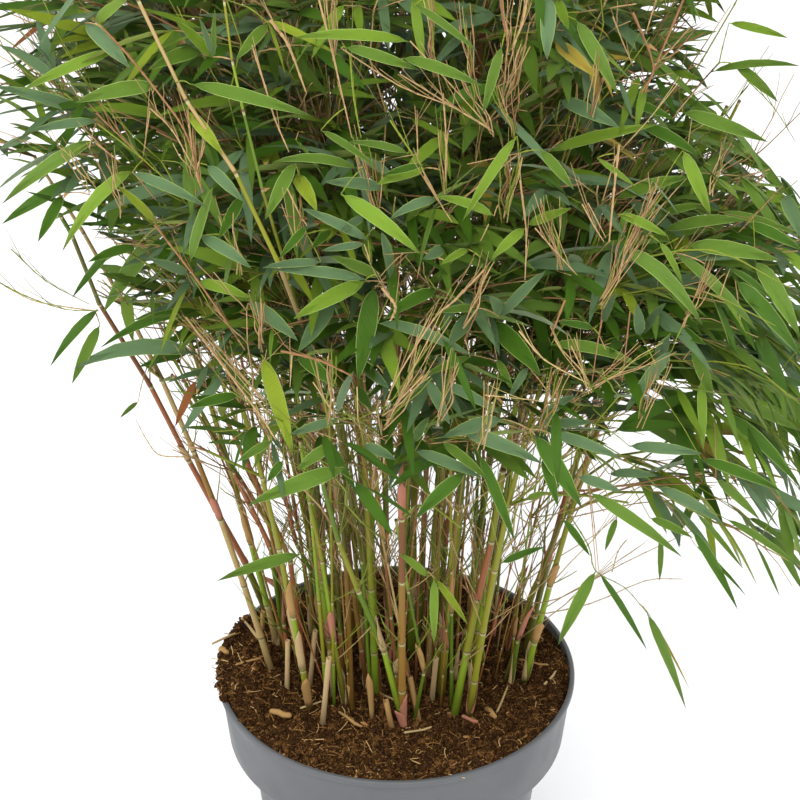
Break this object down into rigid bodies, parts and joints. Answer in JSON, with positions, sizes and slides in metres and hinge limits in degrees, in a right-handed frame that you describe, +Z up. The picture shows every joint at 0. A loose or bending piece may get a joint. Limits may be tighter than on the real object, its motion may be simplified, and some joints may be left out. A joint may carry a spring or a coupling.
{
  "type": "potted bamboo",
  "caption": "Clump of leafy garden bamboo with slender arching canes, standing in a round stepped nursery pot filled with compost.",
  "frame": {"origin": "centre of the pot's flat underside", "axes": "+Z up along the pot's axis, -Y towards the front of the plant, +X to its right"},
  "size_m": [0.6557, 0.6476, 1.1228],
  "materials": {
    "pot": "grey injection-moulded polypropylene, satin, slightly scuffed",
    "compost": "coarse fibrous bark compost, moist and rough",
    "cane": "smooth waxy green cane with pale rings and tan sheaths",
    "foliage": "thin green leaves, half glossy above and matt below"
  },
  "bodies": {
    "root": {"pot": "pot", "compost": "compost", "cane_inner_01": "cane", "cane_inner_02": "cane", "cane_inner_03": "cane", "cane_inner_04": "cane", "cane_middle_01": "cane", "cane_middle_02": "cane", "cane_middle_03": "cane", "cane_middle_04": "cane", "cane_middle_05": "cane", "cane_middle_06": "cane", "cane_middle_07": "cane", "cane_middle_08": "cane", "cane_outer_01": "cane", "cane_outer_02": "cane", "cane_outer_03": "cane", "cane_outer_04": "cane", "cane_outer_05": "cane", "cane_outer_06": "cane", "cane_outer_07": "cane", "cane_outer_08": "cane", "cane_outer_09": "cane", "cane_outer_10": "cane", "foliage_inner_01": "foliage", "foliage_inner_02": "foliage", "foliage_inner_03": "foliage", "foliage_inner_04": "foliage", "foliage_middle_01": "foliage", "foliage_middle_02": "foliage", "foliage_middle_03": "foliage", "foliage_middle_04": "foliage", "foliage_middle_05": "foliage", "foliage_middle_06": "foliage", "foliage_middle_07": "foliage", "foliage_middle_08": "foliage", "foliage_outer_01": "foliage", "foliage_outer_02": "foliage", "foliage_outer_03": "foliage", "foliage_outer_04": "foliage", "foliage_outer_05": "foliage", "foliage_outer_06": "foliage", "foliage_outer_07": "foliage", "foliage_outer_08": "foliage", "foliage_outer_09": "foliage", "foliage_outer_10": "foliage", "foliage_skirt_01": "foliage", "foliage_skirt_02": "foliage", "foliage_skirt_03": "foliage", "foliage_skirt_04": "foliage", "foliage_skirt_05": "foliage", "foliage_skirt_06": "foliage", "foliage_skirt_07": "foliage", "foliage_skirt_08": "foliage", "foliage_skirt_09": "foliage", "foliage_skirt_10": "foliage"}
  },
  "joints": []
}
